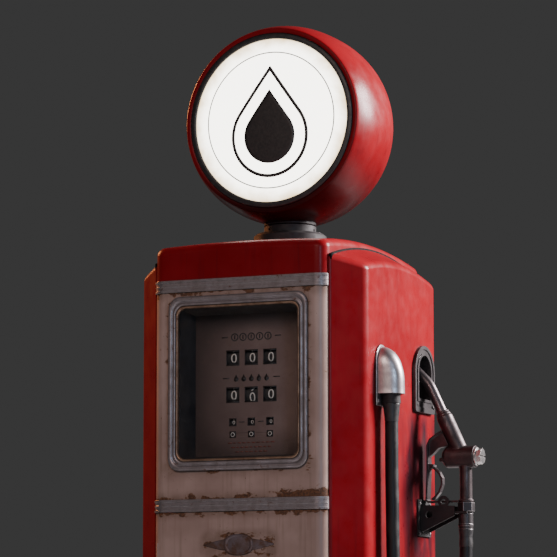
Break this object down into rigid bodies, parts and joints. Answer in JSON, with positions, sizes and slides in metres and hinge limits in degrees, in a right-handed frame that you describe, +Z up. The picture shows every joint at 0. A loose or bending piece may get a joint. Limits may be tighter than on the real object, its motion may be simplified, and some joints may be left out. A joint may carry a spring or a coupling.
{
  "type": "fuel dispenser",
  "caption": "Upright island fuel dispenser with a round lamp globe, recessed counter window, service doors, side hose and a hung nozzle.",
  "frame": {"origin": "on the ground at the centre of the four anchor bolts", "axes": "+Z up; -Y is the front with the counter window; +X is the side with the hose and nozzle"},
  "size_m": [0.63, 0.531, 1.994],
  "materials": {
    "red_paint": "gloss enamel, worn",
    "cream_paint": "gloss enamel, worn and rusted at the edges",
    "trim_metal": "worn satin",
    "plinth": "painted black",
    "frame_paint": "primer grey",
    "clear_glass": "clear",
    "opal_glass": "opal, lit",
    "globe_red": "gloss",
    "rubber_black": "matt",
    "outlet_cast": "worn satin casting",
    "dark_cast": "worn, semi matt",
    "nozzle_metal": "dark, worn",
    "bright": "worn",
    "dial": "satin, aged",
    "wheel_black": "satin",
    "register": "zinc plated",
    "porcelain": "glazed",
    "bulb_glass": "frosted, lit",
    "motor_paint": "semi gloss",
    "pump_paint": "semi gloss"
  },
  "bodies": {
    "cabinet": {"base_plinth": "plinth", "base_plate": "frame_paint", "frame": "frame_paint", "shelf": "frame_paint", "column_left": "red_paint", "column_right": "red_paint", "cap": "red_paint", "window_panel": "cream_paint", "band_upper": "trim_metal", "band_middle": "trim_metal", "band_lower": "trim_metal", "rear_panel": "cream_paint", "bezel": "trim_metal", "glass": "clear_glass", "shroud": "dark_cast", "dial_plate": "dial", "register_frame": "register", "globe_holder": "dark_cast", "globe_drum": "globe_red", "lens_front": "opal_glass", "lens_rear": "opal_glass", "gasket_front": "rubber_black", "gasket_rear": "rubber_black", "lamp_socket": "porcelain", "bulb": "bulb_glass", "hose_outlet": "outlet_cast", "outlet_ferrule": "dark_cast", "boot": "dark_cast", "hanger": "dark_cast", "hose": "rubber_black", "motor": "motor_paint", "pump_unit": "pump_paint", "belt": "rubber_black", "meter": "motor_paint", "junction_box": "frame_paint"},
    "front_door": {"lower_door": "cream_paint", "badge": "trim_metal"},
    "back_door": {"rear_door": "cream_paint"},
    "front_lock": {"front_lock": "bright"},
    "back_lock": {"rear_lock": "bright"},
    "switch_lever": {"switch_lever": "bright"},
    "nozzle": {"hose_ferrule": "nozzle_metal", "swivel_nut": "nozzle_metal", "nozzle_body": "nozzle_metal", "nozzle_spout": "nozzle_metal", "nozzle_guard": "nozzle_metal", "valve_cap": "bright"},
    "trigger": {"trigger": "nozzle_metal"},
    "drive_shaft": {"drive_shaft": "register"},
    "motor_pulley": {"motor_pulley": "register"},
    "pump_pulley": {"pump_pulley": "register"},
    "sale_wheel_1": {"sale_wheel_1": "wheel_black"},
    "sale_wheel_2": {"sale_wheel_2": "wheel_black"},
    "sale_wheel_3": {"sale_wheel_3": "wheel_black"},
    "volume_wheel_1": {"volume_wheel_1": "wheel_black"},
    "volume_wheel_2": {"volume_wheel_2": "wheel_black"},
    "volume_wheel_3": {"volume_wheel_3": "wheel_black"},
    "price_wheel_1": {"price_wheel_1": "wheel_black"},
    "price_wheel_2": {"price_wheel_2": "wheel_black"},
    "price_wheel_3": {"price_wheel_3": "wheel_black"}
  },
  "joints": [
    {"name": "front_door_hinge", "type": "hinge", "parent": "cabinet", "child": "front_door", "pos_m": [-0.172, -0.241, 0.5], "axis": [0, 0, -1], "range_deg": [0, 90]},
    {"name": "back_door_hinge", "type": "hinge", "parent": "cabinet", "child": "back_door", "pos_m": [-0.172, 0.241, 0.5], "axis": [0, 0, 1], "range_deg": [0, 90]},
    {"name": "front_lock_turn", "type": "hinge", "parent": "front_door", "child": "front_lock", "pos_m": [0.15, -0.259, 0.56], "axis": [0, -1, 0], "range_deg": [0, 90]},
    {"name": "back_lock_turn", "type": "hinge", "parent": "back_door", "child": "back_lock", "pos_m": [0.15, 0.259, 0.56], "axis": [0, -1, 0], "range_deg": [0, 90]},
    {"name": "switch_lever_lift", "type": "hinge", "parent": "cabinet", "child": "switch_lever", "pos_m": [0.206, 0.112, 1.29], "axis": [0, -1, 0], "range_deg": [0, 12]},
    {"name": "nozzle_draw", "type": "slide", "parent": "cabinet", "child": "nozzle", "axis": [1, 0, 0], "range_m": [0, 0.12]},
    {"name": "trigger_squeeze", "type": "hinge", "parent": "nozzle", "child": "trigger", "pos_m": [0.271, 0.112, 1.075], "axis": [0, -1, 0], "range_deg": [0, 20], "stiffness_Nm_per_rad": 0.8, "springref_deg": -8.59},
    {"name": "drive_shaft_turn", "type": "hinge", "parent": "cabinet", "child": "drive_shaft", "pos_m": [0, -0.06, 0.9], "axis": [0, 0, 1], "continuous": true},
    {"name": "sale_wheel_1_turn", "type": "hinge", "parent": "cabinet", "child": "sale_wheel_1", "pos_m": [-0.041, -0.1545, 1.284], "axis": [1, 0, 0], "continuous": true},
    {"name": "sale_wheel_2_turn", "type": "hinge", "parent": "cabinet", "child": "sale_wheel_2", "pos_m": [0, -0.1545, 1.284], "axis": [1, 0, 0], "continuous": true},
    {"name": "sale_wheel_3_turn", "type": "hinge", "parent": "cabinet", "child": "sale_wheel_3", "pos_m": [0.041, -0.1545, 1.284], "axis": [1, 0, 0], "continuous": true},
    {"name": "volume_wheel_1_turn", "type": "hinge", "parent": "cabinet", "child": "volume_wheel_1", "pos_m": [-0.041, -0.1545, 1.209], "axis": [1, 0, 0], "continuous": true},
    {"name": "volume_wheel_2_turn", "type": "hinge", "parent": "cabinet", "child": "volume_wheel_2", "pos_m": [0, -0.1545, 1.209], "axis": [1, 0, 0], "continuous": true},
    {"name": "volume_wheel_3_turn", "type": "hinge", "parent": "cabinet", "child": "volume_wheel_3", "pos_m": [0.041, -0.1545, 1.209], "axis": [1, 0, 0], "continuous": true},
    {"name": "price_wheel_1_turn", "type": "hinge", "parent": "cabinet", "child": "price_wheel_1", "pos_m": [-0.041, -0.1745, 1.154], "axis": [1, 0, 0], "continuous": true},
    {"name": "price_wheel_2_turn", "type": "hinge", "parent": "cabinet", "child": "price_wheel_2", "pos_m": [0, -0.1745, 1.154], "axis": [1, 0, 0], "continuous": true},
    {"name": "price_wheel_3_turn", "type": "hinge", "parent": "cabinet", "child": "price_wheel_3", "pos_m": [0.041, -0.1745, 1.154], "axis": [1, 0, 0], "continuous": true},
    {"name": "motor_pulley_turn", "type": "hinge", "parent": "cabinet", "child": "motor_pulley", "pos_m": [0.108, 0.09, 0.19], "axis": [1, 0, 0], "continuous": true},
    {"name": "pump_pulley_turn", "type": "hinge", "parent": "cabinet", "child": "pump_pulley", "pos_m": [0.108, -0.08, 0.19], "axis": [1, 0, 0], "continuous": true}
  ],
  "couplings": [
    {"joint": "sale_wheel_1_turn", "follows": "drive_shaft_turn", "ratio": 0.025},
    {"joint": "sale_wheel_2_turn", "follows": "drive_shaft_turn", "ratio": 0.25},
    {"joint": "sale_wheel_3_turn", "follows": "drive_shaft_turn", "ratio": 2.5},
    {"joint": "volume_wheel_1_turn", "follows": "drive_shaft_turn", "ratio": 0.01},
    {"joint": "volume_wheel_2_turn", "follows": "drive_shaft_turn", "ratio": 0.1},
    {"joint": "volume_wheel_3_turn", "follows": "drive_shaft_turn", "ratio": 1},
    {"joint": "motor_pulley_turn", "follows": "pump_pulley_turn", "ratio": 2.3636}
  ]
}
